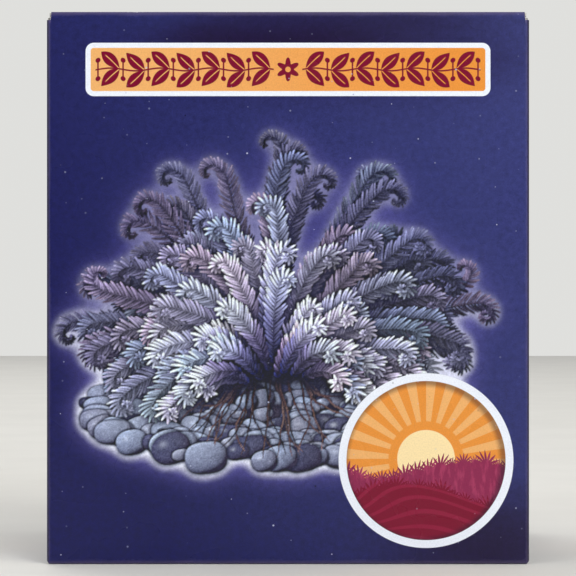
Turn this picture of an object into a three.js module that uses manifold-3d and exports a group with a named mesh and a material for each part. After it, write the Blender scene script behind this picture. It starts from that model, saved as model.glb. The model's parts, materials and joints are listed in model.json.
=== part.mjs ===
// Folding carton: a glued sleeve of four panels with a sealed bottom and a tuck-in top.
//
// The lid hinges on the back panel and carries a tuck flap, which goes in behind the front
// panel. Two dust flaps hinge on the side panels and lie under the closed lid. Every hinge is
// a rounded crease in the board. The carton is empty. Units are millimetres, +Z is up, the
// front panel faces -Y, and the carton stands on z = 0 with the origin at its centre.

import * as THREE from 'three';
import { mergeVertices } from 'three/addons/utils/BufferGeometryUtils.js';
import Module from 'manifold-3d';

const wasm = await Module();
wasm.setup();

// ---- driving dimensions ----------------------------------------------------------------------

const carton = {
  width: 105,
  depth: 70,
  height: 120,
  board: 0.6,
  creaseRadius: 0.9, // outside radius of the four upright creases
  gap: 0.25, // between two pieces that close on each other
};

const lid = {
  sideRelief: 0.4, // narrower than the carton by this much on each side
};

const tuckFlap = {
  length: 12,
  shoulder: 3, // narrower than the lid by this much on each side
  cornerRadius: 6,
  leanDegrees: 8, // how far it leans in from the front panel, which keeps its swing clear
};

const dustFlap = {
  reach: 38,
  frontSetback: 3.2, // from the front panel's outside, at the crease
  frontTaper: 3, // further setback at the free end
  backSetback: 2.2, // from the back panel's outside, at the crease
  backSlant: 0.55, // further setback per unit of reach, which keeps it under the rising lid
  cornerRadius: 5,
};

const bottom = {
  sideFlapReach: 38,
  backFlapReach: 50,
  sideFlapSetback: 3, // from the front and back panels' outsides
};

const glueFlap = { width: 13, lowEnd: 5, highEnd: 112, endSlant: 5 };

const curveSteps = 5; // straight steps in each rounded corner
const creaseSides = 12;

// ---- levels and hinge lines ------------------------------------------------------------------

const halfWidth = carton.width / 2;
const halfDepth = carton.depth / 2;
const halfBoard = carton.board / 2;

const levels = {
  lidCrease: carton.height - halfBoard,
  dustCrease: carton.height - 3 * halfBoard - carton.gap,
  sideTop: carton.height - 4 * halfBoard - 2 * carton.gap,
  backTop: carton.height - carton.board - carton.gap,
};

const hinges = {
  lid: halfDepth - halfBoard, // on Y
  tuck: -halfDepth + carton.board + carton.gap + halfBoard, // on Y
  dust: halfWidth - halfBoard, // on X, to either side
};

// ---- solids ----------------------------------------------------------------------------------

function solidOf(geometry) {
  const bare = geometry.clone();
  for (const name of ['normal', 'uv']) bare.deleteAttribute(name);
  const merged = mergeVertices(bare, 1e-4);
  return new wasm.Manifold(new wasm.Mesh({
    numProp: 3,
    vertProperties: merged.getAttribute('position').array,
    triVerts: new Uint32Array(merged.index.array),
  }));
}

function geometryOf(solid) {
  const { vertProperties, triVerts } = solid.getMesh();
  const geometry = new THREE.BufferGeometry();
  geometry.setAttribute('position', new THREE.BufferAttribute(vertProperties, 3));
  geometry.setIndex(new THREE.BufferAttribute(triVerts, 1));
  geometry.computeVertexNormals();
  return geometry;
}

function fuse(solids) {
  return solids.reduce((joined, solid) => joined.add(solid));
}

function boxSolid([x0, x1], [y0, y1], [z0, z1]) {
  const box = new THREE.BoxGeometry(x1 - x0, y1 - y0, z1 - z0);
  return solidOf(box.translate((x0 + x1) / 2, (y0 + y1) / 2, (z0 + z1) / 2));
}

// A crease: a rod of the board's own thickness, centred on the origin.
function creaseSolid(length, axis) {
  const rod = new THREE.CylinderGeometry(halfBoard, halfBoard, length, creaseSides);
  return solidOf(axis === 'x' ? rod.rotateZ(Math.PI / 2) : rod);
}

// ---- carton body -----------------------------------------------------------------------------

function roundedRectangle(path, x, y, radius) {
  path.absarc(x - radius, -y + radius, radius, -Math.PI / 2, 0, false);
  path.absarc(x - radius, y - radius, radius, 0, Math.PI / 2, false);
  path.absarc(-x + radius, y - radius, radius, Math.PI / 2, Math.PI, false);
  path.absarc(-x + radius, -y + radius, radius, Math.PI, 1.5 * Math.PI, false);
  return path;
}

function sleeve() {
  const inset = carton.board;
  const outline = roundedRectangle(new THREE.Shape(), halfWidth, halfDepth, carton.creaseRadius);
  outline.holes.push(roundedRectangle(
    new THREE.Path(), halfWidth - inset, halfDepth - inset, carton.creaseRadius - inset,
  ));
  return solidOf(new THREE.ExtrudeGeometry(outline, {
    depth: levels.sideTop, bevelEnabled: false, curveSegments: curveSteps,
  }));
}

// The front and back panels stand taller than the side panels, between the upright creases.
function tallPanelEnds() {
  const across = [-halfWidth + carton.creaseRadius, halfWidth - carton.creaseRadius];
  const root = levels.sideTop - carton.board;
  return [
    boxSolid(across, [-halfDepth, -halfDepth + carton.board], [root, carton.height]),
    boxSolid(across, [halfDepth - carton.board, halfDepth], [root, levels.backTop]),
  ];
}

// Outer panel, back flap and two side flaps, glued flat on one another.
function sealedBottom() {
  const { board } = carton;
  const acrossX = [-halfWidth + halfBoard, halfWidth - halfBoard];
  const alongY = [-halfDepth + halfBoard, halfDepth - halfBoard];
  const sideY = [-halfDepth + bottom.sideFlapSetback, halfDepth - bottom.sideFlapSetback];
  const inner = halfWidth - bottom.sideFlapReach;
  return [
    boxSolid(acrossX, alongY, [0, board]),
    boxSolid(acrossX, [halfDepth - bottom.backFlapReach, alongY[1]], [halfBoard, 2 * board]),
    boxSolid([acrossX[0], -inner], sideY, [halfBoard, 3 * board]),
    boxSolid([inner, acrossX[1]], sideY, [halfBoard, 3 * board]),
  ];
}

// The narrow flap that closes the sleeve: it folds from the back panel onto the left panel.
function sleeveGlueFlap() {
  const outline = new THREE.Shape(); // x runs towards the front, y runs up
  outline.moveTo(0, glueFlap.lowEnd);
  outline.lineTo(glueFlap.width, glueFlap.lowEnd + glueFlap.endSlant);
  outline.lineTo(glueFlap.width, glueFlap.highEnd - glueFlap.endSlant);
  outline.lineTo(0, glueFlap.highEnd);
  outline.closePath();
  const flap = new THREE.ExtrudeGeometry(outline, { depth: 3 * halfBoard, bevelEnabled: false });
  flap.rotateX(Math.PI / 2).rotateZ(-Math.PI / 2);
  return solidOf(flap.translate(-halfWidth + 2 * carton.board, halfDepth - halfBoard, 0));
}

function cartonBodyGeometry() {
  return geometryOf(fuse([sleeve(), ...tallPanelEnds(), ...sealedBottom(), sleeveGlueFlap()]));
}

// ---- lid and tuck flap -----------------------------------------------------------------------

const lidHalfWidth = halfWidth - lid.sideRelief;

// The origin is on the lid's crease. The lid runs from it towards the front.
function lidGeometry() {
  const front = hinges.tuck - hinges.lid + halfBoard + carton.gap;
  return geometryOf(fuse([
    creaseSolid(2 * lidHalfWidth, 'x'),
    boxSolid([-lidHalfWidth, lidHalfWidth], [front, 0], [-halfBoard, halfBoard]),
  ]));
}

// The origin is on the fold at the lid's front. The flap hangs down from it.
function tuckFlapGeometry() {
  const { length, cornerRadius } = tuckFlap;
  const half = lidHalfWidth - tuckFlap.shoulder;
  const outline = new THREE.Shape();
  outline.moveTo(half, 0);
  outline.lineTo(half, cornerRadius - length);
  outline.absarc(half - cornerRadius, cornerRadius - length, cornerRadius, 0, -Math.PI / 2, true);
  outline.absarc(cornerRadius - half, cornerRadius - length, cornerRadius, -Math.PI / 2, -Math.PI, true);
  outline.lineTo(-half, 0);
  outline.closePath();
  const plate = new THREE.ExtrudeGeometry(outline, {
    depth: carton.board, bevelEnabled: false, curveSegments: curveSteps,
  });
  plate.translate(0, 0, -halfBoard).rotateX(Math.PI / 2);
  const flap = fuse([creaseSolid(2 * half, 'x'), solidOf(plate)]);
  return geometryOf(flap);
}

// ---- dust flaps ------------------------------------------------------------------------------

// The origin is on the flap's crease. The left flap runs from it along +X, the right one is its
// mirror image.
function dustFlapGeometry(side) {
  const { reach, cornerRadius, frontTaper, backSlant } = dustFlap;
  const front = -halfDepth + dustFlap.frontSetback;
  const back = halfDepth - dustFlap.backSetback;
  const outline = new THREE.Shape();
  outline.moveTo(0, back);
  outline.lineTo(0, front);
  outline.lineTo(reach - cornerRadius, front + frontTaper);
  outline.quadraticCurveTo(reach, front + frontTaper, reach, front + frontTaper + cornerRadius);
  outline.lineTo(reach, back - backSlant * reach - cornerRadius);
  outline.quadraticCurveTo(
    reach, back - backSlant * reach,
    reach - cornerRadius, back - backSlant * (reach - cornerRadius),
  );
  outline.closePath();
  const plate = new THREE.ExtrudeGeometry(outline, {
    depth: carton.board, bevelEnabled: false, curveSegments: curveSteps,
  });
  const crease = creaseSolid(back - front, 'y').translate([0, (front + back) / 2, 0]);
  const flap = fuse([solidOf(plate.translate(0, 0, -halfBoard)), crease]);
  return geometryOf(side < 0 ? flap : flap.mirror([1, 0, 0]));
}

// ---- assembly --------------------------------------------------------------------------------

const printedBoard = new THREE.MeshStandardMaterial({ color: 0x2b2c66, roughness: 0.32, metalness: 0 });

function subPart(name, geometry, position) {
  const mesh = new THREE.Mesh(geometry, printedBoard.clone());
  mesh.name = name;
  mesh.position.set(...position);
  return mesh;
}

const cartonBody = subPart('carton_body', cartonBodyGeometry(), [0, 0, 0]);
const lidPanel = subPart('lid', lidGeometry(), [0, hinges.lid, levels.lidCrease]);
const tuck = subPart('tuck_flap', tuckFlapGeometry(), [0, hinges.tuck, levels.lidCrease]);
tuck.rotation.x = THREE.MathUtils.degToRad(tuckFlap.leanDegrees);
const dustFlaps = [['dust_flap_left', -1], ['dust_flap_right', 1]].map(
  ([name, side]) => subPart(name, dustFlapGeometry(side), [side * hinges.dust, 0, levels.dustCrease]),
);

const group = new THREE.Group();
group.name = 'folding_carton';
group.add(cartonBody, lidPanel, tuck, ...dustFlaps);

export default group;
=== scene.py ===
import json
import math
import bpy
import numpy as np
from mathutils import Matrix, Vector

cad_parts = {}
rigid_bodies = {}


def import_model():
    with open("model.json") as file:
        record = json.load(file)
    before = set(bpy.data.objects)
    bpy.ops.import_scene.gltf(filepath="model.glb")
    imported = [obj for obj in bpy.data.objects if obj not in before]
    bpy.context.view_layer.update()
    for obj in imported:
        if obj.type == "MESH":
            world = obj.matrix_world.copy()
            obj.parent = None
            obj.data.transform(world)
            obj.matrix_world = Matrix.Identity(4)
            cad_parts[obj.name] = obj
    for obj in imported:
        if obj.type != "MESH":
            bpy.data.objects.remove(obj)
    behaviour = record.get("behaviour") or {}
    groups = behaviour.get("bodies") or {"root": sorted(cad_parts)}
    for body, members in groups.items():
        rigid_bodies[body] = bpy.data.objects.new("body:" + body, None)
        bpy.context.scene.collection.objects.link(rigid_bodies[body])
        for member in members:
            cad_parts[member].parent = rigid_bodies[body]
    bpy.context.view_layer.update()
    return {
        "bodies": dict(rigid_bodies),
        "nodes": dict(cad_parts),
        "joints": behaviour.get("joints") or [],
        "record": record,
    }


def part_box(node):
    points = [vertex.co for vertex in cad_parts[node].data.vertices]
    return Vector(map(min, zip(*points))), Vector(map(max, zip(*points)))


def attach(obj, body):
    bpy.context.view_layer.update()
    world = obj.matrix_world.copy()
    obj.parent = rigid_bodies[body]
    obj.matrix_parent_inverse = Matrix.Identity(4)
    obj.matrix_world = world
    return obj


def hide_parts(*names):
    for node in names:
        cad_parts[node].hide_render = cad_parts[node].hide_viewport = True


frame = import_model()
mm = 0.001
print("frame loaded")


# sizes in millimetres, all taken from the frame

def boxInMm(node):
    low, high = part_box(node)
    return np.array(low) / mm, np.array(high) / mm


halfWidth, halfDepth, height = boxInMm("carton_body")[1]
lidLow, lidHigh = boxInMm("lid")
tuckHigh = boxInMm("tuck_flap")[1]
flapLow, flapHigh = boxInMm("dust_flap_left")
hinge = {joint["name"]: np.array(joint["pos_m"]) / mm for joint in frame["joints"]}
board = lidHigh[2] - lidLow[2]
sideShoulder = flapLow[2] - 0.25  # where the side panels and the upright creases stop


# mesh building: each piece of board is closed, with an outer face, an inner face and a cut edge

def addPiece(name, points, faces, slots, body, node, face):
    # slot 0 is the face's material, 1 the inside and 2 the cut edge
    mesh = bpy.data.meshes.new(name)
    mesh.from_pydata(points, [], faces)
    mesh.polygons.foreach_set("material_index", slots)
    mesh.validate()
    for material in (face, insideBoard, cutEdge):
        mesh.materials.append(material)
    piece = bpy.data.objects.new(name, mesh)
    bpy.context.scene.collection.objects.link(piece)
    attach(piece, body)
    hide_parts(node)
    return piece


def zipper(outer, inner):
    # triangles between two edges that share their ends but not their number of points
    triangles, i, j = [], 0, 0
    while i < len(outer) - 1 or j < len(inner) - 1:
        nextOuter = (i + 1) / (len(outer) - 1)
        nextInner = (j + 1) / (len(inner) - 1)
        if j == len(inner) - 1 or (i < len(outer) - 1 and nextOuter <= nextInner):
            triangles.append((outer[i + 1], outer[i], inner[j]))
            i += 1
        else:
            triangles.append((inner[j], inner[j + 1], outer[i]))
            j += 1
    return triangles


def gridFaces(grid, first):
    # the point numbers of a grid's four edges and of its faces
    index = first + np.arange(grid[..., 0].size).reshape(grid.shape[:2])
    edges = [edge.tolist() for edge in (index[0], index[:, -1], index[-1, ::-1], index[::-1, 0])]
    corners = [index[:-1, :-1], index[:-1, 1:], index[1:, 1:], index[1:, :-1]]
    return edges, np.stack(corners, axis=-1).reshape(-1, 4)


def boardPiece(name, outer, inner, body, node, face, wear, colours=None):
    # outer and inner are grids of points, in millimetres
    first = outer[..., 0].size
    outerEdges, outerFaces = gridFaces(outer, 0)
    innerEdges, innerFaces = gridFaces(inner, first)
    cut = [corners for pair in zip(outerEdges, innerEdges) for corners in zipper(*pair)]
    points = np.concatenate([outer.reshape(-1, 3), inner.reshape(-1, 3)]) * mm
    faces = outerFaces.tolist() + innerFaces[:, ::-1].tolist() + cut
    slots = [0] * len(outerFaces) + [1] * len(innerFaces) + [2] * len(cut)
    mesh = addPiece(name, points.tolist(), faces, slots, body, node, face).data
    mesh.shade_smooth()
    mesh.set_sharp_from_angle(angle=math.radians(35))
    if colours is not None:
        values = np.ones((len(points), 4), np.float32)
        values[:first, :3] = colours.reshape(-1, 3)
        ink = mesh.color_attributes.new("ink", "FLOAT_COLOR", "POINT")
        ink.data.foreach_set("color", values.ravel())
    values = np.zeros(len(points), np.float32)
    values[:first] = wear.ravel()
    mesh.attributes.new("edge", "FLOAT", "POINT").data.foreach_set("value", values)


def spaced(low, high, step, near=(0.15, 0.4, 0.9)):
    # even steps, with a few points close to both ends
    inner = np.linspace(low, high, max(2, int(round((high - low) / step)) + 1))
    close = [low + n for n in near] + [high - n for n in near]
    return np.unique(np.round(np.concatenate([inner, close]), 4))


# colours as they are seen, turned into the linear values that shaders use

seenColours = {
    # the paler ground tone on the next line is also the painted sheen on the picture's ground, towards
    # the upper right
    "ground": (19, 20, 79), "groundLight": (52, 56, 113),
    "groundDeep": (24, 8, 48), "glow": (120, 112, 196),
    "glowCore": (236, 238, 252), "orange": (232, 146, 56),
    "orangePale": (238, 176, 106), "sun": (252, 226, 170),
    "maroon": (122, 4, 42), "maroonPale": (140, 20, 56),
    "maroonSoft": (138, 36, 76), "maroonStreak": (164, 54, 92),
    "white": (237, 241, 249), "frondDark": (22, 26, 60),
    "frond": (114, 104, 134), "frondPale": (234, 220, 240),
    "frondGreen": (196, 216, 212), "shadow": (10, 13, 40),
    "root": (118, 92, 88), "pebble": (190, 199, 220),
    "pebbleWarm": (146, 128, 130), "pebbleDark": (84, 84, 110),
    "pebbleShade": (52, 44, 62), "dust": (176, 180, 206),
    # the first colour on the next line is for lighter worn edges and also stands in for a painted
    # highlight along the creases
    "scuff": (112, 98, 134), "chip": (206, 202, 198),
    # the first colour on the next line is the painted shade along the upright creases
    "crease": (14, 10, 24), "card": (196, 203, 222),
    "insideLight": (196, 188, 174), "insideDark": (164, 156, 142),
    "cutLight": (226, 222, 214), "cutDark": (150, 146, 140),
    "coatLight": (230, 229, 226), "coatDark": (214, 212, 208),
    "fleck": (112, 100, 88), "floorLight": (218, 216, 209),
    "floorDark": (206, 204, 197),
}


def linear(seen):
    values = np.array(seen) / 255
    return np.where(values <= 0.04045, values / 12.92, ((values + 0.055) / 1.055) ** 2.4)


inks = {name: linear(seen) for name, seen in seenColours.items()}


# the printed picture, drawn in panel millimetres: fern fronds over a bank of pebbles

lightFrom = (-0.5, 0.87)  # the drawing's own light, on the panel


def unit(values):
    return np.clip(values, 0, 1)


def blend(first, second, share):
    return first * (1 - share) + second * share


def makeCanvas(width, high, pitch):
    u = -width / 2 + np.arange(int(width / pitch) + 2) * pitch
    v = np.arange(int(high / pitch) + 2) * pitch
    u, v = np.meshgrid(u, v)
    paint, cover = np.zeros((*u.shape, 3)), np.zeros(u.shape)
    return {"u": u, "v": v, "left": -width / 2, "pitch": pitch, "paint": paint, "cover": cover}


def gridPlace(canvas, u, v):
    return (u - canvas["left"]) / canvas["pitch"], v / canvas["pitch"]


def windowOf(canvas, u, v, reach):
    # the canvas within reach of (u, v), and its distances from there
    column, row = gridPlace(canvas, u, v)
    span = reach / canvas["pitch"]
    window = tuple(slice(max(0, int(n - span)), max(0, int(n + span) + 2)) for n in (row, column))
    return window, canvas["u"][window] - u, canvas["v"][window] - v


def paintOn(canvas, window, mask, colour):
    canvas["paint"][window] = blend(canvas["paint"][window], colour, mask[..., None])
    canvas["cover"][window] = blend(canvas["cover"][window], 1, mask)


def drawLeaf(canvas, u, v, heading, length, width, colour, bend=0.0):
    # one tapered stroke from (u, v), darker at its root
    window, du, dv = windowOf(canvas, u, v, length + width)
    cos, sin = math.cos(heading), math.sin(heading)
    along = (du * cos + dv * sin) / length
    across = dv * cos - du * sin - bend * length * along ** 2
    share = unit(along)
    half = width * 1.3 * np.sqrt(share) * np.sqrt(1 - share)
    mask = unit((half - np.abs(across)) / canvas["pitch"] + 0.5) * (along > 0) * (along < 1)
    roundness = 1.12 - 0.6 * unit(np.abs(across) / np.maximum(half, 1e-6)) ** 2
    light = (0.5 + 0.8 * share) * roundness
    paintOn(canvas, window, mask, colour * light[..., None])


def drawShade(canvas, u, v, radius, strength):
    # a soft round shadow on what is already drawn
    window, du, dv = windowOf(canvas, u, v, radius)
    mask = strength * unit(1 - (du ** 2 + dv ** 2) / radius ** 2)
    mask = mask * unit(canvas["cover"][window] * 1.5)
    canvas["paint"][window] = blend(canvas["paint"][window], inks["shadow"], mask[..., None])


def ribPoints(base, heading, frond, random):
    # an arching rib that rolls up at its tip, with the length of its leaflets at each point
    cos = math.cos(heading)
    side = min(1.0, abs(cos) * 1.4)  # upright fronds are longer and lean less
    length = frond["length"] * random.uniform(0.8, 1.12) * (1 - 0.14 * side)
    outward = -1 if cos > 0 else 1
    if abs(cos) < 0.12:
        outward = random.choice((-1, 1))
    lean = outward * frond["lean"] * (0.25 + 0.75 * side) * random.uniform(0.6, 1.25)
    curl = outward * frond["curl"] * random.uniform(0.75, 1.2)
    if random.random() < frond["turnsBack"]:
        curl = -curl
    wobble = random.uniform(-0.18, 0.18)
    u, v = base
    points = []
    for i in range(frond["leaflets"]):
        share = i / (frond["leaflets"] - 1)
        tight = max(0.0, share - frond["curlFrom"]) / (1 - frond["curlFrom"])
        angle = heading + lean * share ** 1.25 + wobble * math.sin(share * 5) + curl * tight ** 1.7
        stride = length / frond["leaflets"] * (1 - 0.66 * tight)
        u += math.cos(angle) * stride
        v += math.sin(angle) * stride
        swell = math.sin(math.pi * min(1.0, 0.06 + share * 0.84)) ** 0.62
        points.append((u, v, angle, share, stride, frond["leaflet"] * swell * (1 - 0.5 * tight)))
    return points


def drawFrond(canvas, base, heading, frond, depth, random):
    points = ribPoints(base, heading, frond, random)
    for u, v, _, _, _, size in points[::2]:
        drawShade(canvas, u + 0.5, v - 0.8, size * 1.25 + 0.4, frond["shade"])
    tone = random.uniform(0.7, 1.25) * depth
    green = random.uniform(0, 0.85) ** 2
    warm = random.uniform(-0.14, 0.16)
    tint = np.array((1 + warm, 1.0, 1.34 - 0.32 * min(1.0, depth) - 0.6 * warm))
    pale = blend(inks["frondPale"], inks["frondGreen"], green)
    for u, v, angle, share, stride, size in points:
        low = min(1.0, share / 0.42)
        high = max(0.0, min(1.0, (share - 0.36) / 0.44)) * (1 - 0.45 * max(0.0, share - 0.84) / 0.16)
        colour = blend(blend(inks["frondDark"], inks["frond"], low), pale, high) * tint * tone
        drawLeaf(canvas, u, v, angle, stride * 2.6, frond["rib"], colour * 0.62)
        for side in (-1, 1):
            swing = angle + side * random.uniform(0.74, 1.02)
            facing = math.cos(swing) * lightFrom[0] + math.sin(swing) * lightFrom[1]
            light = (0.8 + 0.52 * facing) * random.uniform(0.62, 1.4)
            length = size * random.uniform(0.82, 1.14)
            drawLeaf(canvas, u, v, swing, length, frond["leafWidth"], colour * light, -0.16 * side)


def drawPebble(canvas, u, v, wide, high, tilt, colour, random):
    window, du, dv = windowOf(canvas, u, v, max(wide, high) * 1.25)
    if du.size == 0:
        return
    cos, sin = math.cos(tilt), math.sin(tilt)
    p, q = (du * cos + dv * sin) / wide, (dv * cos - du * sin) / high
    power = random.uniform(2.1, 2.7)
    distance = (np.abs(p) ** power + np.abs(q) ** power) ** (1 / power)
    paintOn(canvas, window, unit((1.2 - distance) * 5) * 0.75, inks["shadow"])
    mask = unit((1 - distance) * min(wide, high) / canvas["pitch"] + 0.5)
    facing = np.sqrt(unit(1 - distance ** 2))
    light = 0.55 * facing + 0.62 * (p * lightFrom[0] + q * lightFrom[1]) + 0.12
    light = unit(light)[..., None]
    speckle = 1 + 0.05 * random.standard_normal(du.shape)[..., None]
    gleam = np.exp(-((p + 0.32) ** 2 + (q - 0.42) ** 2) / 0.05)[..., None] * random.uniform(0.0, 0.28)
    paintOn(canvas, window, mask, blend(inks["pebbleShade"], colour, light) * speckle + gleam)


def drawRoot(canvas, base, heading, root, random):
    u, v = base
    turn = random.uniform(-0.05, 0.05)
    colour = inks["root"] * random.uniform(0.35, 1.3)
    for i in range(root["steps"]):
        width = root["width"] * (1 - 0.6 * i / root["steps"])
        heading += turn + random.uniform(-0.22, 0.22)
        drawShade(canvas, u + 0.2, v - 0.4, 0.9, 0.3)
        drawLeaf(canvas, u, v, heading, root["stride"] * 2.6, width, colour)
        u += math.cos(heading) * root["stride"]
        v += math.sin(heading) * root["stride"]


def drawBank(canvas, base, bank, random):
    # pebbles from the back of the bank to its front
    u, v = base[0], base[1] + bank["sink"]
    window, du, dv = windowOf(canvas, u, v, bank["half"][0] * 1.05)
    distance = np.hypot(du / bank["half"][0], dv / bank["half"][1])
    paintOn(canvas, window, unit((1 - distance) * 8), inks["pebbleShade"])
    spots = []
    while len(spots) < bank["count"]:
        across, up = random.uniform(-1, 1), random.uniform(-1, 1)
        if across ** 2 + up ** 2 < 1:
            spots.append((across, up))
    for across, up in sorted(spots, key=lambda spot: -spot[1]):
        wide = bank["pebble"] * random.uniform(0.5, 1.3) * (1.05 - 0.35 * up)
        warm, deep = random.uniform(0, 1) * 0.5, random.random()
        colour = blend(inks["pebble"], inks["pebbleWarm"], warm)
        if deep > 0.72:
            colour = inks["pebbleDark"] * random.uniform(0.6, 1.4)
        drawPebble(
            canvas, u + across * bank["half"][0], v + up * bank["half"][1],
            wide, wide * random.uniform(0.55, 0.82), random.uniform(-0.4, 0.4), colour, random,
        )


def drawPicture(width, high, picture):
    random = np.random.default_rng(picture["seed"])
    canvas = makeCanvas(width, high, picture["pitch"])
    baseU, baseV = picture["base"]
    drawBank(canvas, picture["base"], picture["bank"], random)
    for _ in range(picture["roots"]["count"]):
        heading = random.uniform(math.pi, 2 * math.pi)
        foot = (baseU + math.cos(heading) * 7, baseV + 2 + math.sin(heading) * 2)
        drawRoot(canvas, foot, heading * 0.55 + 0.45 * 1.5 * math.pi, picture["roots"], random)
    heart = picture["heart"]  # the dark middle of the clump
    window, du, dv = windowOf(canvas, baseU, baseV + heart["up"], heart["half"][0] * 1.1)
    distance = np.hypot(du / heart["half"][0], dv / heart["half"][1])
    shade = np.clip((1 - distance) * heart["strength"], 0, heart["darkest"])
    paintOn(canvas, window, shade * unit(canvas["cover"][window] + (dv > -6)), inks["shadow"])
    for layer in picture["layers"]:
        count = layer["fronds"]
        for k in random.permutation(count):
            fan = (k + random.uniform(0.1, 0.9)) / count * 2 - 1
            heading = math.pi / 2 - fan * math.radians(layer["spread"])
            foot = (baseU + fan * layer["foot"], baseV + layer["rise"] + random.uniform(-1.5, 1.5))
            depth = layer["depth"] * (0.85 + 0.3 * random.random())
            drawFrond(canvas, foot, heading, layer, depth, random)
    canvas["final"] = finishPicture(canvas, picture)
    return canvas


def blurred(values, reach, pitch):
    # three running means in each direction, close to a round blur
    steps = max(1, int(reach / pitch))
    for axis in (0, 1, 0, 1, 0, 1):
        padding = [(0, 0)] * values.ndim
        padding[axis] = (steps + 1, steps)
        total = np.cumsum(np.pad(values, padding), axis=axis)
        ahead = np.take(total, range(2 * steps + 1, total.shape[axis]), axis=axis)
        behind = np.take(total, range(0, total.shape[axis] - 2 * steps - 1), axis=axis)
        values = (ahead - behind) / (2 * steps + 1)
    return values


crisping = {
    "fine": 0.2, "low": 0.8, "broad": 3.5, "crisp": 0.8, "even": 0.45, "grain": 0.035,
    "middle": 0.43, "contrast": 1.14, "darker": 0.03, "darkest": 0.09, "tint": (0.965, 1.0, 1.03),
}


def crisped(values, cover, pitch, random):
    # fine detail lifted and broad light and shade evened out in the picture, with a little grain
    tone = np.sqrt(np.clip(values, 0, None))
    fine, low, broad = [blurred(tone, crisping[scale], pitch) for scale in ("fine", "low", "broad")]
    grain = crisping["grain"] * random.standard_normal(cover.shape)[..., None]
    drawn = tone + crisping["crisp"] * (tone - fine) - crisping["even"] * (low - broad) + grain
    middle = crisping["middle"]
    drawn = middle + crisping["contrast"] * (drawn - middle) - crisping["darker"]
    drawn = np.clip(drawn, crisping["darkest"], 1) * crisping["tint"]
    return unit(blend(tone, drawn, cover[..., None])) ** 2


def finishPicture(canvas, picture):
    # the ground behind the picture, with a painted sheen that makes it lighter towards the upper right,
    # and a glow that follows the picture's outline
    u, v, cover, pitch = canvas["u"], canvas["v"], canvas["cover"], canvas["pitch"]
    # painted sheen: the ground gets lighter towards the top and the right, as under light from the upper
    # right
    paintedSheen = unit(0.2 + 0.42 * u / u.max() + 0.5 * v / v.max())[..., None]
    ground = blend(inks["ground"], inks["groundLight"], paintedSheen)
    puffs = np.zeros(u.shape)
    random = np.random.default_rng(picture["seed"] + 1)
    for cloud in picture["clouds"]:
        for _ in range(cloud["puffs"]):
            du = u - cloud["at"][0] - random.uniform(-1, 1) * cloud["reach"]
            dv = v - cloud["at"][1] - random.normal(0, 5)
            wide, tall = random.uniform(6, 22), random.uniform(0.8, 6)
            puffs += random.uniform(0.05, 0.36) * np.exp(-(du / wide) ** 2 - (dv / tall) ** 2)
    ground = blend(ground, inks["groundDeep"], (1 - np.exp(-puffs))[..., None])
    glow = picture["glow"]
    solid = unit(blurred(cover, 0.5, pitch) * 1.7)
    near, far = [blurred(solid, glow[reach], pitch) for reach in ("near", "far")]
    fade = 1 - (1 - glow["atTop"]) * unit((v - glow["from"]) / glow["over"])
    outer = unit(far * 1.3) ** 1.5 * (0.35 + 0.65 * fade) * 0.75
    inner = unit(near * 1.9 - 0.2) ** 1.8 * fade
    ground = blend(ground, inks["glow"], outer[..., None])
    ground = blend(ground, inks["glowCore"], inner[..., None])
    return crisped(canvas["paint"] + ground * (1 - cover[..., None]), cover, pitch, random)


def sampleInk(canvas, u, v):
    # the colours of the finished picture at points between the canvas's own
    final = canvas["final"]
    column, row = gridPlace(canvas, u, v)
    column, row = np.clip(column, 0, final.shape[1] - 1.001), np.clip(row, 0, final.shape[0] - 1.001)
    c, r = column.astype(int), row.astype(int)
    a, b = (column - c)[..., None], (row - r)[..., None]
    low = blend(final[r, c], final[r, c + 1], a)
    top = blend(final[r + 1, c], final[r + 1, c + 1], a)
    return blend(low, top, b)


heart = {"up": 6, "half": (20, 12), "strength": 1.6, "darkest": 0.96}


def fronds(count, length, spread, depth, rise=0.0, scale=1.0, lean=1.0):
    return {
        "fronds": count, "length": length * scale, "spread": spread, "depth": depth, "rise": rise,
        "foot": 8 * scale, "leaflets": int(length * 1.25), "leaflet": 3.5 * scale,
        "leafWidth": 0.46 * scale, "rib": 0.5 * scale, "curl": 5.2, "curlFrom": 0.72, "lean": lean,
        "turnsBack": 0.1, "shade": 0.3,
    }


frontPicture = {
    "seed": 7, "pitch": 0.175, "base": (-3, 40.5),
    "bank": {"half": (41, 12.5), "sink": -6, "count": 330, "pebble": 2.6},
    "roots": {"count": 26, "steps": 16, "stride": 1.0, "width": 0.3}, "heart": heart,
    "glow": {"near": 1.3, "far": 3.0, "atTop": 0.15, "from": 34, "over": 26},
    "clouds": [{"puffs": 70, "reach": 31, "at": (9, 114)}, {"puffs": 34, "reach": 14, "at": (42, 3)}],
    "layers": [
        fronds(24, 56, 66, 0.22, 5, lean=0.85),
        fronds(26, 49, 78, 0.35, 4, lean=1.05),
        fronds(24, 42, 86, 0.58, 3, lean=1.3),
        fronds(20, 34, 90, 0.94, 2, lean=1.5),
        fronds(15, 26, 92, 1.3, 1, lean=1.8),
        fronds(9, 18, 86, 1.6, 0, lean=2.0),
    ],
}

sidePicture = {
    "seed": 23, "pitch": 0.24, "base": (0, 52),
    "bank": {"half": (25, 8), "sink": -4, "count": 130, "pebble": 2.1},
    "roots": {"count": 14, "steps": 10, "stride": 0.9, "width": 0.3}, "heart": heart,
    "glow": {"near": 1.0, "far": 2.4, "atTop": 0.15, "from": 47, "over": 17},
    "clouds": [{"puffs": 20, "reach": 31, "at": (0, 113)}],
    "layers": [
        fronds(16, 32, 74, 0.34, 3, 0.85, 1.0),
        fronds(16, 28, 84, 0.6, 2, 0.85, 1.3),
        fronds(12, 21, 88, 0.92, 1, 0.85, 1.6),
        fronds(7, 14, 84, 1.2, 0, 0.85, 1.9),
    ],
}


# helpers for node trees

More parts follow.
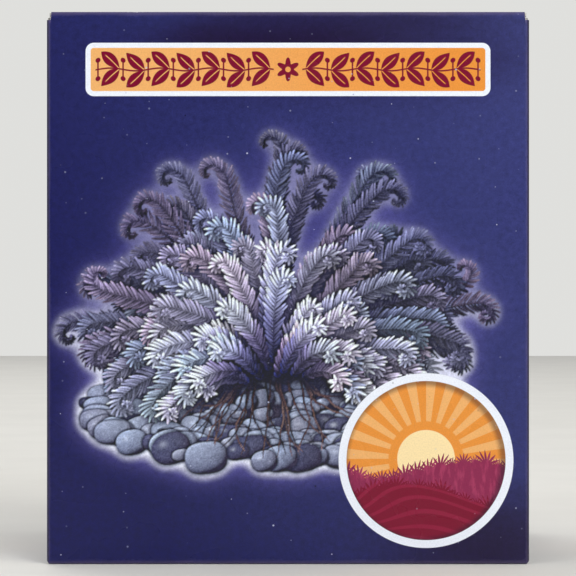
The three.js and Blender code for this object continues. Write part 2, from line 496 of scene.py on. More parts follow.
class Value:
    # a node's output; sums and products of it add math nodes, so that they read as formulas
    def __init__(self, socket):
        self.socket = socket
        self.tree = socket.id_data

    def __add__(self, other):
        return maths("ADD", self, other)

    def __sub__(self, other):
        return maths("SUBTRACT", self, other)

    def __rsub__(self, other):
        return maths("SUBTRACT", other, self)

    def __mul__(self, other):
        return maths("MULTIPLY", self, other)

    def __truediv__(self, other):
        return maths("DIVIDE", self, other)

    def __mod__(self, other):
        return maths("FLOORED_MODULO", self, other)

    def __pow__(self, other):
        return maths("POWER", self, other)

    def __abs__(self):
        return maths("ABSOLUTE", self)

    def __neg__(self):
        return self * -1.0


def wire(value, socket):
    # value is another node's output, the name of an ink or a plain setting
    if isinstance(value, Value):
        value.tree.links.new(value.socket, socket)
    elif isinstance(value, str):
        socket.default_value = (*inks[value], 1.0)
    else:
        socket.default_value = value


def addNode(tree, kind, inputs, **settings):
    node = tree.nodes.new("ShaderNode" + kind)
    for name, setting in settings.items():
        setattr(node, name, setting)
    for label, value in inputs.items():
        wire(value, node.inputs[label])
    return [Value(socket) for socket in node.outputs]


def maths(operation, *values):
    tree = next(value.tree for value in values if isinstance(value, Value))
    return addNode(tree, "Math", dict(enumerate(values)), operation=operation)[0]


def largest(first, *others):
    for other in others:
        first = maths("MAXIMUM", first, other)
    return first


def smallest(first, *others):
    for other in others:
        first = maths("MINIMUM", first, other)
    return first


def sine(angle):
    return maths("SINE", angle)


def longSide(u, v):
    return maths("SQRT", u * u + v * v)


def ramp(value, low, high):
    # 0 below low, 1 above high, smooth between
    inputs = {"Value": value, "From Min": low, "From Max": high}
    return addNode(value.tree, "MapRange", inputs, interpolation_type="SMOOTHSTEP")[0]


def mixColour(share, first, second):
    return addNode(share.tree, "Mix", {0: share, 6: first, 7: second}, data_type="RGBA")[2]


def layered(colour, *layers):
    # each layer is a mask and the colour to lay on where the mask is 1
    for mask, over in layers:
        colour = mixColour(mask, colour, over)
    return colour


def noise(place, scale, detail=2.0, roughness=0.5):
    inputs = {"Vector": place, "Scale": scale, "Detail": detail, "Roughness": roughness}
    return addNode(place.tree, "TexNoise", inputs)[0]


def stretched(place, scales, turn=(0, 0, 0)):
    return addNode(place.tree, "Mapping", {"Vector": place, "Rotation": turn, "Scale": scales})[0]


def scaled(vector, factor):
    return addNode(vector.tree, "VectorMath", {0: vector, "Scale": factor}, operation="SCALE")[0]


def flatPlace(u, v):
    return addNode(u.tree, "CombineXYZ", {0: u, 1: v})[0]


def makeGroup(formula, inputs, outputs):
    # formula is given the inputs and gives back the outputs, both in their order
    tree = bpy.data.node_groups.new(formula.__name__, "ShaderNodeTree")
    for label, value in inputs.items():
        kind = "NodeSocketVector" if value is None else "NodeSocketFloat"
        socket = tree.interface.new_socket(name=label, in_out="INPUT", socket_type=kind)
        if value is not None:
            socket.default_value = value
    for label in outputs:
        tree.interface.new_socket(name=label, in_out="OUTPUT", socket_type="NodeSocketFloat")
    given = tree.nodes.new("NodeGroupInput").outputs
    out = tree.nodes.new("NodeGroupOutput").inputs
    for label, value in zip(outputs, formula(*[Value(given[label]) for label in inputs])):
        wire(value, out[label])


def useGroup(name, *values):
    # values are for the group's inputs, in their order
    group = bpy.data.node_groups[name]
    outputs = addNode(values[0].tree, "Group", dict(enumerate(values)), node_tree=group)
    return {value.socket.name: value for value in outputs}


# the shared effects; lengths are in millimetres

edgeSoftness = 0.06  # over which a printed edge fades


def printed(depth, softness=edgeSoftness):
    # 1 where depth is above 0, with a slightly soft edge
    return ramp(depth, -softness, softness)


innerShade = {"reach": 1.5, "shift": (0.45, 0.25), "share": 0.6}  # printed inside a badge's ring


def framedPlate(u, v, halfU, halfV, corner, frame):
    du = largest(abs(u) - (halfU - corner), 0.0)
    dv = largest(abs(v) - (halfV - corner), 0.0)
    depth = corner - longSide(du, dv)
    return printed(depth), printed(depth - frame), ramp(depth - frame, innerShade["reach"], 0.0)


makeGroup(
    framedPlate, {"U": 0.0, "V": 0.0, "Half U": 10.0, "Half V": 5.0, "Corner": 1.5, "Frame": 1.0},
    ["Frame", "Field", "Shade"])

garland = {
    "flower": 2.6, "eye": 0.6, "petals": 6.0, "clear": 0.5,
    "base": 0.75, "lean": math.radians(43), "length": 5.5, "width": 1.3, "vein": 0.1, "veinEnd": 0.75,
    "stem": 0.17, "wave": 0.3, "stalk": 2.0, "berry": 0.55,
}


def leafGarland(u, v, repeat, reach):
    # pairs of leaves and berries on a waving stem, which leans both ways from a flower
    run = abs(u) - (garland["flower"] + garland["clear"])
    offStem = abs(v - sine(run / repeat * math.pi) * garland["wave"])
    p = run % repeat - garland["base"]
    cos, sin = math.cos(garland["lean"]), math.sin(garland["lean"])
    share = (p * cos + offStem * sin) / garland["length"]
    across = abs(offStem * cos - p * sin)
    blade = (1.0 - share) * share * (4 * garland["width"]) - across
    leaf = smallest(blade, largest(across - garland["vein"], share - garland["veinEnd"]))
    node = maths("PINGPONG", run, repeat * 0.5)
    berry = garland["berry"] - longSide(node, offStem - garland["stalk"])
    stalk = smallest(garland["stem"] - node, garland["stalk"] - offStem)
    twig = smallest(largest(berry, stalk), run - garland["base"])  # the first node is the flower's
    vine = largest(leaf, twig, garland["stem"] - offStem)
    vine = smallest(vine, reach + garland["berry"] - abs(u), run)
    fromEye = longSide(u, v)
    petals = maths("COSINE", maths("ARCTAN2", u, v) * garland["petals"])
    rim = petals * (0.25 * garland["flower"]) + 0.75 * garland["flower"]
    return [printed(largest(vine, smallest(rim - fromEye, fromEye - garland["eye"])))]


makeGroup(leafGarland, {"U": 0.0, "V": 0.0, "Repeat": 5.0, "Reach": 40.0}, ["Leaves"])

grass = {"rows": 3, "shift": 7.334, "cell": 0.4, "tall": 0.19, "blades": 2.6, "sink": 0.015}


def grassTufts(u, rise, seed):
    # spiky tufts where rise is 0, in overlapping rows of cells; above 0 inside them
    tufts = []
    for k in range(grass["rows"]):
        x = u / grass["cell"] + (seed + k * grass["shift"])
        chance = addNode(u.tree, "TexWhiteNoise", {"W": maths("FLOOR", x)}, noise_dimensions="1D")[0]
        side = (maths("FRACT", x) - 0.5) * grass["cell"]
        up = rise + grass["sink"]
        turn = maths("ARCTAN2", side, up) * grass["blades"] + chance
        blade = maths("PINGPONG", turn, 0.5) * 1.3 + 0.35
        tufts.append(blade * (chance * 0.5 + 0.5) * grass["tall"] - longSide(side, up))
    return largest(*tufts)


# in shares of the badge's radius
dusk = {
    "sun": 0.33, "sunUp": 0.02, "rays": 24.0, "raysFrom": 0.43,
    "far": {"waves": 3.1, "phase": 0.0, "swell": 0.1, "level": -0.12, "seed": 3.1},
    "near": {"waves": 2.3, "phase": 2.1, "swell": 0.16, "level": -0.46, "seed": 11.7},
    "ripples": 62.0, "streaks": (8.0, 2.2, 1.0),
}


def duneMask(u, v, dune):
    rise = v - (sine(u * dune["waves"] + dune["phase"]) * dune["swell"] + dune["level"])
    return rise, printed(largest(grassTufts(u, rise, dune["seed"]), -rise), 0.004)


def sunAndDunes(u, v, radius):
    u, v = u / radius, v / radius
    sunV = v - dusk["sunUp"]
    distance = longSide(u, sunV)
    sun = ramp(distance, dusk["sun"] + 0.005, dusk["sun"] - 0.005)
    beams = printed(sine(maths("ARCTAN2", u, sunV) * dusk["rays"]), 0.08)
    rays = beams * ramp(distance, dusk["raysFrom"] - 0.01, dusk["raysFrom"] + 0.01)
    _, far = duneMask(u, v, dusk["far"])
    rise, near = duneMask(u, v, dusk["near"])
    bend = sine(v * 5.0 + u * 2.0) * 0.09
    ripples = ramp(sine((rise + bend) * dusk["ripples"]), 0.45, 0.75)
    streaks = ramp(noise(stretched(flatPlace(u, v), dusk["streaks"]), 2.0, 3.0, 0.6), 0.48, 0.66)
    return sun, rays, far, near, ripples, streaks


makeGroup(sunAndDunes, {"U": 0.0, "V": 0.0, "Radius": 15.0},
          ["Sun", "Rays", "Far dune", "Near dune", "Ripples", "Streaks"])


def specks(place, cell, radius, share):
    # scattered round specks, at most one to a cell, each with its own size and strength
    inputs = {"Vector": place, "Scale": 1 / cell}
    distance, colour, *_ = addNode(place.tree, "TexVoronoi", inputs, voronoi_dimensions="2D")
    chance, sizing, fading = addNode(place.tree, "SeparateColor", {0: colour})
    size = sizing * (radius / cell) + 0.4 * radius / cell
    inside = ramp(distance - size, 0.3 * radius / cell, 0.0)
    return inside * maths("LESS_THAN", chance, share) * (fading ** 3.0 * 0.85 + 0.15)


film = {
    "dust": (4.5, 0.14, 0.3), "pitShade": (9.0, 0.14, 0.35),  # cell, radius, share of cells with a speck
    "ragged": 1.1, "scuffAndHighlightFrom": (0.12, 0.6), "chipFrom": (1.12, 1.2),
    "rough": 0.19, "smear": 0.16, "markRough": 0.35, "peel": 0.1, "chipDeep": 0.5, "dustHigh": 0.6,
}


def laminateSurface(place, edge, dusty, worn):
    # the clear film on the print: dust, tiny pits with painted shade in them, worn edges and the board's
    # own waviness
    dust = specks(place, *film["dust"]) * dusty
    # painted shade: dark specks for tiny pits in the film, which have no relief of their own
    pitShade = specks(stretched(place, (1, 1, 1), (0, 0, 0.7)), *film["pitShade"]) * dusty
    ragged = (noise(place, 1.6, 4.0, 0.7) - 0.5) * film["ragged"]
    edge = edge * (ragged + (noise(place, 0.11, 2.0) + 0.5))
    # worn, lighter edges, which also stand in for a painted highlight where the crease turns
    scuff = ramp(edge, *film["scuffAndHighlightFrom"]) * worn
    chips = ramp(edge, *film["chipFrom"]) * worn
    marks = largest(chips, dust, scuff * 0.5)
    roughness = noise(place, 0.045, 3.0) * film["smear"] + film["rough"] + marks * film["markRough"]
    wavy = noise(place, 1.1, 2.0) * film["peel"] + noise(place, 0.06, 1.0)
    height = wavy - chips * film["chipDeep"] + dust * film["dustHigh"]
    return dust, pitShade, scuff, chips, roughness, height


makeGroup(laminateSurface, {"Position": None, "Edge": 0.0, "Dust": 1.0, "Wear": 1.0},
          ["Dust", "Pits", "Scuff", "Chips", "Roughness", "Height"])


def pictograms(u, v):
    # a water drop and a leaf, each about one unit in radius
    rise = smallest(largest(v * 0.5 + 0.5, 0.0), 1.0)  # 0 at the drop's foot, 1 at its tip
    half = maths("SQRT", rise) * (1.0 - rise) ** 0.9 * 1.5
    along, across = u * 0.5 + v * 0.87, abs(u * 0.87 - v * 0.5)
    leaf = (1.0 - along * along) * 0.46 - across
    barbs = maths("PINGPONG", along - across, 0.14) - 0.11
    return [printed(shape, 0.01) for shape in (half - abs(u), leaf, largest(0.04 - across, barbs))]


makeGroup(pictograms, {"U": 0.0, "V": 0.0}, ["Drop", "Leaf", "Leaf vein"])


def boardFibre(place, scale):
    place = scaled(place, scale)
    long = noise(stretched(place, (0.5, 3.0, 3.0)), 0.8, 4.0, 0.65)
    cross = noise(stretched(place, (3.0, 0.6, 1.2), (0, 0, 0.6)), 0.9, 4.0, 0.65)
    both = (long + cross) * 0.5
    return both, ramp(noise(place, 2.2, 3.0, 0.6), 0.66, 0.72), both


makeGroup(boardFibre, {"Position": None, "Scale": 1.0}, ["Fibre", "Flecks", "Height"])
print("shader groups made")


# materials

def newMaterial(name):
    material = bpy.data.materials.new(name)
    material.use_nodes = True
    coordinates = material.node_tree.nodes.new("ShaderNodeTexCoord")
    shader = material.node_tree.nodes["Principled BSDF"]
    return material, shader, scaled(Value(coordinates.outputs["Object"]), 1 / mm)


def finishMaterial(shader, colour, roughness, height, depth):
    wire(colour, shader.inputs["Base Color"])
    wire(roughness, shader.inputs["Roughness"])
    bump = addNode(colour.tree, "Bump", {"Strength": 1.0, "Distance": depth * mm, "Height": height})[0]
    wire(bump, shader.inputs["Normal"])


def alongPanel(place, axes):
    split = dict(zip("XYZ", addNode(place.tree, "SeparateXYZ", {0: place})))
    return [-split[axis[1]] if axis[0] == "-" else split[axis] for axis in axes]


def attribute(tree, name, output):
    node = tree.nodes.new("ShaderNodeAttribute")
    node.attribute_name = name
    return Value(node.outputs[output])


def roundPlate(u, v, radius, ring):
    return useGroup("framedPlate", u, v, radius, radius, radius, ring)


def printBand(colour, u, v, band):
    halfU, halfV = band["half"]
    plate = useGroup("framedPlate", u, v, halfU, halfV, band["corner"], band["frame"])
    reach = halfU - band["frame"] - band["margin"]
    repeat = (reach - garland["flower"] - garland["clear"]) / band["leafPairs"]
    leaves = useGroup("leafGarland", u, v, repeat, reach)["Leaves"]
    field = mixColour(leaves, mixColour(ramp(u, -halfU, halfU), "orangePale", "orange"), "maroon")
    return layered(colour, (plate["Frame"], "white"), (plate["Field"], field))


def printBadge(colour, u, v, badge):
    radius, ring = badge["radius"], badge["ring"]
    plate = roundPlate(u, v, radius, ring)
    scene = useGroup("sunAndDunes", u, v, radius)
    far = mixColour(scene["Streaks"], "maroonSoft", "maroonStreak")
    near = mixColour(scene["Ripples"], "maroon", "maroonPale")
    shade = roundPlate(u + innerShade["shift"][0], v + innerShade["shift"][1], radius, ring)["Shade"]
    field = layered(
        "orange", (scene["Rays"], "orangePale"), (scene["Sun"], "sun"), (scene["Far dune"], far),
        (scene["Near dune"], near), (shade * innerShade["share"], "shadow"))
    return layered(colour, (plate["Frame"], "white"), (plate["Field"], field))


def sunIcon(u, v, radius):
    scene = useGroup("sunAndDunes", u, v, radius)
    return layered("orangePale", (scene["Rays"], "orange"), (scene["Sun"], "maroon"))


def dropIcon(u, v, radius):
    drop = useGroup("pictograms", u / (radius * 0.68), v / (radius * 0.68))["Drop"]
    return mixColour(drop, "orangePale", "maroon")


def leafIcon(u, v, radius):
    shapes = useGroup("pictograms", u / (radius * 0.68), v / (radius * 0.68))
    leaf = mixColour(shapes["Leaf vein"], "maroon", "orangePale")
    return mixColour(shapes["Leaf"], "orangePale", leaf)


def printCard(colour, u, v, card):
    # a plain pale panel with three round pictograms
    plate = useGroup("framedPlate", u, v, *card["half"], card["corner"], card["frame"])
    colour = layered(colour, (plate["Frame"], "orangePale"), (plate["Field"], "card"))
    for k, icon in enumerate((sunIcon, dropIcon, leafIcon)):
        du = u - (k - 1) * card["spacing"]
        disc = roundPlate(du, v, card["icon"], card["iconRing"])
        field = icon(du, v, card["icon"])
        colour = layered(colour, (disc["Frame"], "maroon"), (disc["Field"], field))
    return colour


def groundColour(place):
    return mixColour(ramp(noise(place, 0.02, 2.0), 0.3, 0.7), "ground", "groundLight")


def creaseLine(u, flat, half):
    # a narrow, slightly uneven painted shade line where the print turns the corner
    uneven = (noise(flat, 0.9, 3.0) - 0.5) * 0.2
    return ramp(abs(u) + uneven, half - 0.5, half - 0.32)


printing = {
    "mottle": (0.75, 4.0, 0.7), "grain": (3.0, 2.0),  # scale, detail and roughness of each noise
    # on the next line: the share of lighter worn edges that also stand in for a painted highlight, and of
    # the painted shade along the creases
    "scuff": 0.35, "crease": 0.85, "deep": 0.05, "specular": 0.3,
}


def printedBoard(name, axes, seed, band=None, badge=None, card=None, drawn=False, half=None):
    # drawn takes the ground from the mesh's ink; half is half the panel's width between creases
    material, shader, place = newMaterial(name)
    u, v = alongPanel(place, axes)
    flat = flatPlace(u + seed * 200.0, v)  # the panel's own plane, so that marks differ by panel
    colour = attribute(place.tree, "ink", "Color") if drawn else groundColour(place)
    colour = scaled(colour, noise(flat, *printing["mottle"]) * 1.1 + 0.45)
    for printOn, item in ((printCard, card), (printBand, band), (printBadge, badge)):
        if item:
            colour = printOn(colour, u - item["at"][0], v - item["at"][1], item)
    colour = scaled(colour, noise(flat, *printing["grain"]) * 0.3 + 0.85)
    marks = useGroup("laminateSurface", flat, attribute(place.tree, "edge", "Fac"))
    # lighter worn edges, partly wear and partly a painted highlight along the creases
    colour = mixColour(marks["Scuff"] * printing["scuff"], colour, "scuff")
    # painted shade along the upright creases, where the print turns away
    if half:
        colour = mixColour(creaseLine(u, flat, half) * printing["crease"], colour, "crease")
    # chips and dust are the film's own wear and dirt; the pits get painted shade
    colour = layered(
        colour, (marks["Chips"], "chip"), (marks["Dust"], "dust"), (marks["Pits"], "shadow"))
    finishMaterial(shader, colour, marks["Roughness"], marks["Height"], printing["deep"])
    shader.inputs["Specular IOR Level"].default_value = printing["specular"]
    return material


def rawBoard(name, light, dark, depth):
    material, shader, place = newMaterial(name)
    fibre = useGroup("boardFibre", place)
    colour = mixColour(ramp(fibre["Fibre"], 0.3, 0.7), dark, light)
    colour = mixColour(fibre["Flecks"] * 0.5, colour, "fleck")
    finishMaterial(shader, colour, fibre["Fibre"] * 0.15 + 0.78, fibre["Height"], depth)
    return material


def coatedBoard(name, hingeLine, bleed):
    # white coated board, with the ground colour printed a little way past the crease
    material, shader, place = newMaterial(name)
    u, _ = alongPanel(place, ("X", "Y"))
    fibre = useGroup("boardFibre", place)
    white = mixColour(ramp(fibre["Fibre"], 0.3, 0.7), "coatDark", "coatLight")
    colour = mixColour(printed(bleed - abs(u - hingeLine)), white, groundColour(place))
    finishMaterial(shader, colour, fibre["Fibre"] * 0.2 + 0.4, fibre["Height"], 0.03)
    return material


frontBand = {
    "at": (0, height - 12.5), "half": (44, 5.8), "corner": 1.8, "frame": 1.1, "margin": 1.6,
    "leafPairs": 7,
}
sideBand = dict(frontBand, half=(27, 5.8), leafPairs=4)
frontBadge = {"at": (30, 22.5), "radius": 19, "ring": 1.7}
sideBadge = {"at": (0, 22), "radius": 13, "ring": 1.3}
lidBadge = {"at": (0, 0), "radius": 16, "ring": 1.5}
backBadge = {"at": (0, 29), "radius": 19, "ring": 1.7}
backCard = {
    "at": (0, 72), "half": (40, 14), "corner": 2.5, "frame": 0.7,
    "icon": 9.5, "iconRing": 0.9, "spacing": 26,
}

frontPrint = printedBoard("frontPrint", ("X", "Z"), 0, frontBand, frontBadge, drawn=True, half=halfWidth)
rightPrint = printedBoard("rightPrint", ("Y", "Z"), 1, sideBand, sideBadge, drawn=True, half=halfDepth)
leftPrint = printedBoard("leftPrint", ("-Y", "Z"), 2, sideBand, sideBadge, drawn=True, half=halfDepth)
backPrint = printedBoard("backPrint", ("-X", "Z"), 3, frontBand, backBadge, backCard, half=halfWidth)
lidPrint = printedBoard("lidPrint", ("X", "Y"), 4, badge=lidBadge)
tuckPrint = printedBoard("tuckPrint", ("X", "Z"), 5)
bottomPrint = printedBoard("bottomPrint", ("X", "Y"), 6)
insideBoard = rawBoard("insideBoard", "insideLight", "insideDark", 0.05)
cutEdge = rawBoard("cutEdge", "cutLight", "cutDark", 0.04)
leftFlapFace = coatedBoard("leftFlapFace", hinge["dust_flap_left_hinge"][0], 4.0)
rightFlapFace = coatedBoard("rightFlapFace", hinge["dust_flap_right_hinge"][0], 4.0)
print("materials made")


# the sleeve: four panels, each with half of the crease at both of its sides

sleeve = {
    "crease": 0.9, "arcSteps": 5, "bulge": 0.45, "footTurn": 0.88, "worn": 0.55, "atBreaks": 0.02,
    "front": 0.19, "side": 0.3, "back": 2.5, "inside": (9, 7),  # steps outside, points inside
}
creaseRadius = sleeve["crease"]

frontCanvas = drawPicture(2 * halfWidth, height, frontPicture)
sideCanvas = drawPicture(2 * halfDepth, height, sidePicture)
print("picture drawn")


def topOf(panel, x):
    # a panel is taller along its tab than at its shoulders
    low, high = panel["tab"]
    return np.where((low < x) & (x < high), panel["top"], sideShoulder)


def panelGrid(panel, columns, levels, low, high, inside=0.0):
    # points across and up a panel; levels are shares of the way from low to high or to its top
    flat = panel["half"] - creaseRadius
    arc = np.radians(np.linspace(0, 45, sleeve["arcSteps"]))[1:]
    reach = flat + creaseRadius * np.sin(arc)
    drop = -creaseRadius * (1 - np.cos(arc))
    p = np.concatenate([-reach[::-1], columns, reach])
    q = np.concatenate([drop[::-1], np.zeros(len(columns)), drop])
    turn = np.concatenate([-arc[::-1], np.zeros(len(columns)), arc])
    top = topOf(panel, p) if high is None else high
    v = low + levels[:, None] * (top - low) + np.zeros(len(p))
    rise = np.sin(np.pi * unit(v / height) ** 0.9) ** 0.7
    swell = sleeve["bulge"] * unit(1 - (p / flat) ** 2) * rise
    foot = unit((creaseRadius - v) / creaseRadius) * sleeve["footTurn"]
    shift = swell - creaseRadius * (1 - np.sqrt(1 - foot ** 2)) - inside
    u, n = p + np.sin(turn) * shift, q + np.cos(turn) * shift
    points = u[..., None] * panel["along"] + (panel["distance"] + n)[..., None] * panel["outward"]
    points[..., 2] = v
    return points, np.broadcast_to(p, v.shape), v


def makePanel(name, panel, low, high, coarser):
    half = panel["half"]
    flat = half - creaseRadius
    breaks = [edge + side * sleeve["atBreaks"] for edge in panel["breaks"] for side in (-1, 1)]
    columns = np.unique([*spaced(-flat, flat, panel["step"]), *breaks])
    across, up = sleeve["inside"]
    coarse, levels = np.unique([*np.linspace(-flat, flat, across), *breaks]), np.linspace(0, 1, up)
    inner, _, _ = panelGrid(panel, coarse, levels, low, high, inside=board)
    tallest = high or panel["top"]
    rows = spaced(low, tallest, panel["step"] * coarser, (0.1, 0.25, 0.45, 0.7, 0.9))
    outer, across, up = panelGrid(panel, columns, (rows - low) / (tallest - low), low, high)
    toEdge = np.minimum(half - np.abs(across), np.minimum(up, topOf(panel, across) - up))
    wear = np.exp(-np.clip(toEdge, 0, None) / sleeve["worn"])
    colours = sampleInk(panel["canvas"], across, up) if panel["canvas"] else None
    boardPiece(name, outer, inner, "carton", "carton_body", panel["print"], wear, colours)


# each cut is a strip between two heights, with its rows that much coarser away from the picture
wide = {
    "half": halfWidth, "distance": halfDepth, "breaks": (),
    "tab": (creaseRadius - halfWidth, halfWidth - creaseRadius),
}
panels = {
    "front": dict(
        wide, along=(1, 0, 0), outward=(0, -1, 0), top=height, step=sleeve["front"],
        print=frontPrint, canvas=frontCanvas,
        cuts={"_foot": (0.0, 14.0, 4), "_lower": (14.0, 41.0, 1), "_middle": (41.0, 68.0, 1),
              "_upper": (68.0, 95.0, 1), "_head": (95.0, None, 4)}),
}
for label, side, material in (("right", 1, rightPrint), ("left", -1, leftPrint)):
    flapEdges = sorted((side * flapLow[1], side * flapHigh[1]))
    panels[label] = {
        "half": halfDepth, "distance": halfWidth, "breaks": flapEdges, "tab": flapEdges,
        "along": (0, side, 0), "outward": (side, 0, 0), "top": hinge["dust_flap_left_hinge"][2],
        "step": sleeve["side"], "print": material, "canvas": sideCanvas,
        "cuts": {"_foot": (0.0, 36.0, 4), "_middle": (36.0, 92.0, 1), "_head": (92.0, None, 4)},
    }
panels["back"] = dict(
    wide, along=(-1, 0, 0), outward=(0, 1, 0), top=hinge["lid_hinge"][2], step=sleeve["back"],
    print=backPrint, canvas=None, cuts={"": (0.0, None, 1)})
for label, panel in panels.items():
    for part, (low, high, coarser) in panel["cuts"].items():
        makePanel(f"{label}_panel{part}", panel, low, high, coarser)
print("sleeve made")


# flaps: a section swept along its crease; p runs from the crease, q out of the face, w along it

flapWorn = 0.5  # how far wear reaches in from an edge


def roundedInset(flap, p):
    # how far the rounded free corners draw the edges in
    corner = flap["corner"]
    past = np.clip(p - (flap["reach"] - corner), 0, corner)
    return corner - np.sqrt(corner ** 2 - past ** 2)


def evenEdges(flap, p):
    inset = roundedInset(flap, p)
    return inset - flap["half"], flap["half"] - inset


def flapGrid(flap, crease, p, q):
    first, last = flap["edges"](flap, p)
    share = spaced(0, 1, 1 / flap["rows"], (0.003, 0.01, 0.025))[:, None]
    w = first + share * (last - first)
    points = crease + p[:, None] * flap["p"] + q[:, None] * flap["q"] + w[..., None] * flap["w"]
    toEnd = np.minimum(p.max() - p, np.abs(p))
    toEdge = np.minimum(np.minimum(np.abs(w - first), np.abs(last - w)), toEnd)
    return points, np.exp(-toEdge / flapWorn)


def foldedFlap(body, flap, face):
    # outer and inner line, each by its angles round the crease and then along the flap
    run = spaced(0.0, flap["reach"], flap["step"], (0.2, 0.6, 1.2))[1:]
    grids = []
    for angles, side in (((240, 90), 1), ((250, 270), -1)):
        turn = np.radians(np.linspace(*angles, 8))
        p = np.concatenate([board / 2 * np.cos(turn), run])
        q = np.concatenate([board / 2 * np.sin(turn), np.full(len(run), side * board / 2)])
        grids.append(flapGrid(flap, hinge[f"{body}_hinge"], p, q))
    (outer, wear), (inner, _) = grids
    boardPiece(f"{body}_panel", outer, inner, body, body, face, wear)


lidFlap = {
    "reach": hinge["lid_hinge"][1] - hinge["tuck_flap_hinge"][1], "half": lidHigh[0], "corner": 1.6,
    "step": 2.0, "rows": 50, "edges": evenEdges, "p": (0, -1, 0), "q": (0, 0, 1), "w": (-1, 0, 0),
}
foldedFlap("lid", lidFlap, lidPrint)

lean = math.radians(8)  # how far the tuck flap leans in from the front panel
tuckFlap = {
    "reach": 12.0, "half": tuckHigh[0], "corner": 6.0, "step": 0.7, "rows": 25, "edges": evenEdges,
    "p": (0, math.sin(lean), -math.cos(lean)), "q": (0, -math.cos(lean), -math.sin(lean)),
    "w": (-1, 0, 0),
}
foldedFlap("tuck_flap", tuckFlap, tuckPrint)


def dustEdges(flap, p):
    # front edge and back edge
    inset = roundedInset(flap, p)
    share = unit(p / (flap["reach"] - flap["corner"]))
    front = flapLow[1] + flap["frontTaper"] * share + inset
    return front, flapHigh[1] - flap["backSlant"] * np.clip(p, 0, None) - inset


leftFlap = {
    "reach": 38.0, "corner": 5.0, "frontTaper": 3.0, "backSlant": 0.55,
    "step": 1.2, "rows": 25, "edges": dustEdges, "p": (1, 0, 0), "q": (0, 0, 1), "w": (0, 1, 0),
}
rightFlap = dict(leftFlap, p=(-1, 0, 0), edges=lambda flap, p: dustEdges(flap, p)[::-1])
foldedFlap("dust_flap_left", leftFlap, leftFlapFace)
foldedFlap("dust_flap_right", rightFlap, rightFlapFace)
print("flaps made")


# flat pieces that close the bottom

bottom = {
    "seam": 0.05, "frontSeam": 0.3, "clear": 0.1, "backReach": 50, "sideReach": 38,
    "sideSetback": 3, "cuts": (0.5, 1.5, 4.0), "softEdge": 0.12,  # corners cut off in each layer
}


def flatPiece(name, x0, x1, y0, y1, layer, face):
    # a rectangle with cut corners, face down; layer counts boards from the ground
    cut = bottom["cuts"][layer]
    outline = [(x0 + cut, y0), (x1 - cut, y0), (x1, y0 + cut), (x1, y1 - cut),
               (x1 - cut, y1), (x0 + cut, y1), (x0, y1 - cut), (x0, y0 + cut)]
    count = len(outline)
    points = [(x * mm, y * mm, z * board * mm) for z in (layer, layer + 1) for x, y in outline]
    faces = [range(count - 1, -1, -1), range(count, 2 * count)]
    faces += [(i, (i + 1) % count, count + (i + 1) % count, count + i) for i in range(count)]
    piece = addPiece(name, points, faces, [0, 1] + [2] * count, "carton", "carton_body", face)
    bevel = piece.modifiers.new("softEdge", "BEVEL")
    bevel.width = bottom["softEdge"] * mm
    bevel.segments = 2
    bevel.limit_method = "ANGLE"


innerX, innerY = halfWidth - board, halfDepth - board
panelX, flapX = innerX - bottom["seam"], innerX - bottom["clear"]
flatPiece("bottom_panel", -panelX, panelX,
          -innerY + bottom["frontSeam"], innerY - bottom["seam"], 0, bottomPrint)
flatPiece("bottom_back_flap", -flapX, flapX,
          halfDepth - bottom["backReach"], innerY - bottom["clear"], 1, insideBoard)
sideEnd = halfDepth - bottom["sideSetback"]
for side, label in ((-1, "left"), (1, "right")):
    near, far = sorted((side * flapX, side * (halfWidth - bottom["sideReach"])))
    flatPiece(f"bottom_{label}_flap", near, far, -sideEnd, sideEnd, 2, insideBoard)
print("bottom made")


# the sleeve's glue flap, inside at the back left

def glueEdges(flap, p):
    rise = flap["slant"] * unit(p / flap["reach"])
    return flap["low"] + rise, flap["high"] - rise


glueFlap = {
    "reach": 13.0, "low": 5.0, "high": 112.0, "slant": 5.0,
    "columns": 8, "rows": 25, "edges": glueEdges, "p": (0, -1, 0), "q": (-1, 0, 0), "w": (0, 0, 1),
}
glueCrease = (-innerX + board / 2, innerY, 0)
run = np.linspace(0.0, glueFlap["reach"], glueFlap["columns"])
outer, wear = flapGrid(glueFlap, glueCrease, run, np.full(len(run), board / 2))
inner, _ = flapGrid(glueFlap, glueCrease, run, np.full(len(run), -board / 2))
boardPiece("sleeve_glue_flap", outer, inner, "carton", "carton_body", insideBoard, wear)


# floor, light and camera; lengths are in metres from here

bpy.ops.mesh.primitive_plane_add(size=3.0, location=(0, 0, -0.0001))
floor = bpy.context.object
floor.name = "studio_floor"
floorMaterial, floorShader, floorPlace = newMaterial("paleFloor")
wire(mixColour(noise(floorPlace, 0.03, 4.0), "floorDark", "floorLight"), floorShader.inputs["Base Color"])
floorShader.inputs["Roughness"].default_value = 0.75
floor.data.materials.append(floorMaterial)

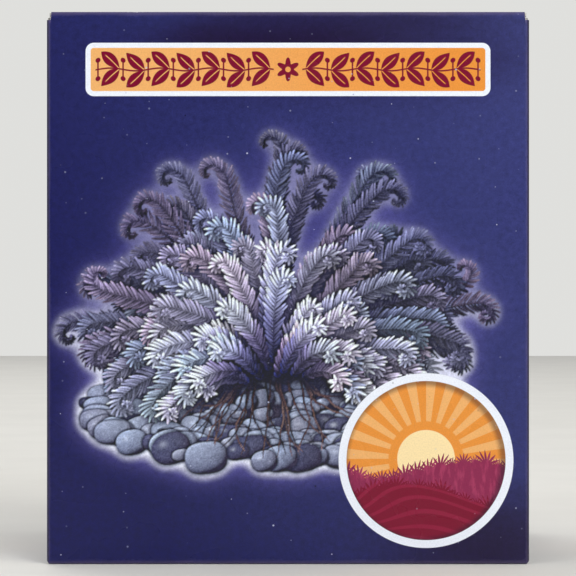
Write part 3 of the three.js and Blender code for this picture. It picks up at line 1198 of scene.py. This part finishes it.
studio = {"backdrop": (0.74, 0.74, 0.72, 1.0), "sky": (0.76, 0.8, 0.92, 1.0), "skyStrength": 0.2}
lamps = {
    "topLamp": {"at": (0.0, 0.0, 2.6), "size": 4.0, "power": 62.0, "colour": (1.0, 0.99, 0.97)},
    "keyLamp": {"at": (0.75, -0.85, 0.95), "size": 0.9, "power": 8.0, "colour": (1.0, 0.97, 0.92)},
    "sheenLamp": {"at": (0.42, -1.0, 0.62), "size": 0.5, "power": 4.0, "colour": (0.82, 0.88, 1.0)},
    "fillLamp": {"at": (-1.0, -0.7, 0.5), "size": 0.9, "power": 3.6, "colour": (0.95, 0.97, 1.0)},
    "backLamp": {"at": (-0.4, 0.95, 1.3), "size": 0.9, "power": 8.0, "colour": (1.0, 1.0, 1.0)},
}
world = bpy.data.worlds.new("studio")
world.use_nodes = True
background = world.node_tree.nodes["Background"].inputs
seen = Value(world.node_tree.nodes.new("ShaderNodeLightPath").outputs["Is Camera Ray"])
wire(mixColour(seen, studio["sky"], studio["backdrop"]), background["Color"])
wire(largest(seen, studio["skyStrength"]), background["Strength"])
bpy.context.scene.world = world
bpy.context.scene.view_settings.view_transform = "Standard"


def addToStudio(name, data, at):
    # a lamp or camera, turned towards the middle of the carton
    item = bpy.data.objects.new(name, data)
    bpy.context.scene.collection.objects.link(item)
    item.location = at
    toMiddle = Vector((0, 0, height / 2 * mm)) - item.location
    item.rotation_euler = toMiddle.to_track_quat("-Z", "Y").to_euler()
    return item


for name, lamp in lamps.items():
    light = bpy.data.lights.new(name, "AREA")
    light.size = lamp["size"]
    light.energy = lamp["power"]
    light.color = lamp["colour"]
    addToStudio(name, light, lamp["at"])

view = {"distance": 0.5, "pixelsPerMm": 4.6, "picture": 576, "sensor": 36.0}
lens = bpy.data.cameras.new("frontCamera")
lens.sensor_width = view["sensor"]
lens.lens = view["pixelsPerMm"] * view["sensor"] / view["picture"] * view["distance"] / mm
cameraAt = (0, -halfDepth * mm - view["distance"], height / 2 * mm)
bpy.context.scene.camera = addToStudio("frontCamera", lens, cameraAt)
print("studio ready")
